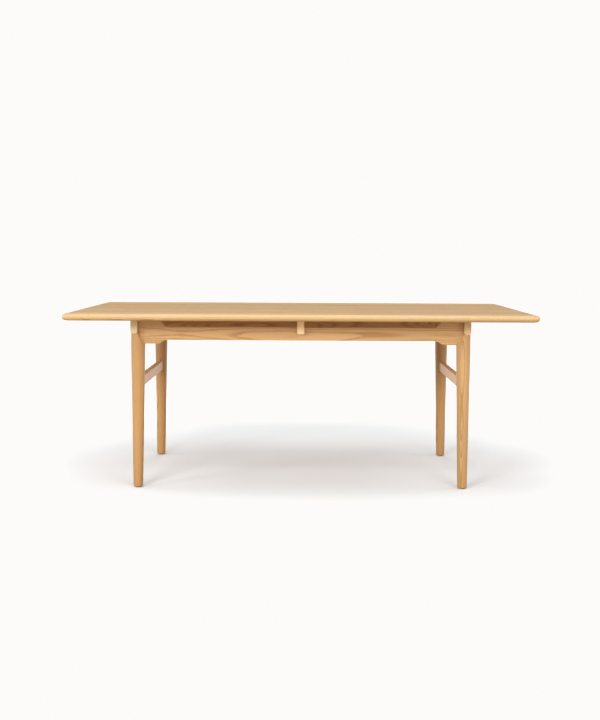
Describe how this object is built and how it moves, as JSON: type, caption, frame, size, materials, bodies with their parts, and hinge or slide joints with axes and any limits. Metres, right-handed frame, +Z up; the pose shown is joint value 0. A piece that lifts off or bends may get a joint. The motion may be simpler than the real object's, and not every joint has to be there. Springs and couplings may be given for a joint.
{
  "type": "communion table",
  "caption": "Long oak communion table: a round-edged plank top on round tapered legs, with long rails that deepen at their ends, crossbars and side stretchers.",
  "frame": {"origin": "on the floor, under the middle of the top", "axes": "+X along the table's length, +Y to its back, +Z up"},
  "size_m": [1.9, 0.95, 0.72],
  "materials": {
    "oak_top": "oiled oak, satin",
    "oak_frame": "oiled oak, satin",
    "screw_steel": "zinc-plated steel",
    "glide_nylon": "moulded nylon, matt"
  },
  "bodies": {
    "root": {"bar_screw_left_back": "screw_steel", "bar_screw_left_front": "screw_steel", "bar_screw_middle_back": "screw_steel", "bar_screw_middle_front": "screw_steel", "bar_screw_right_back": "screw_steel", "bar_screw_right_front": "screw_steel", "crossbar_left": "oak_frame", "crossbar_middle": "oak_frame", "crossbar_right": "oak_frame", "glide_back_left": "glide_nylon", "glide_back_right": "glide_nylon", "glide_front_left": "glide_nylon", "glide_front_right": "glide_nylon", "leg_back_left": "oak_frame", "leg_back_right": "oak_frame", "leg_front_left": "oak_frame", "leg_front_right": "oak_frame", "rail_back": "oak_frame", "rail_front": "oak_frame", "rail_screw_back_left_high": "screw_steel", "rail_screw_back_left_low": "screw_steel", "rail_screw_back_right_high": "screw_steel", "rail_screw_back_right_low": "screw_steel", "rail_screw_front_left_high": "screw_steel", "rail_screw_front_left_low": "screw_steel", "rail_screw_front_right_high": "screw_steel", "rail_screw_front_right_low": "screw_steel", "stretcher_left": "oak_frame", "stretcher_right": "oak_frame", "top_board_1": "oak_top", "top_board_2": "oak_top", "top_board_3": "oak_top", "top_board_4": "oak_top", "top_board_5": "oak_top", "top_board_6": "oak_top", "top_board_7": "oak_top", "top_board_8": "oak_top", "top_board_9": "oak_top", "top_screw_left_back_inner": "screw_steel", "top_screw_left_back_outer": "screw_steel", "top_screw_left_front_inner": "screw_steel", "top_screw_left_front_outer": "screw_steel", "top_screw_middle_back_inner": "screw_steel", "top_screw_middle_back_outer": "screw_steel", "top_screw_middle_front_inner": "screw_steel", "top_screw_middle_front_outer": "screw_steel", "top_screw_right_back_inner": "screw_steel", "top_screw_right_back_outer": "screw_steel", "top_screw_right_front_inner": "screw_steel", "top_screw_right_front_outer": "screw_steel"}
  },
  "joints": []
}
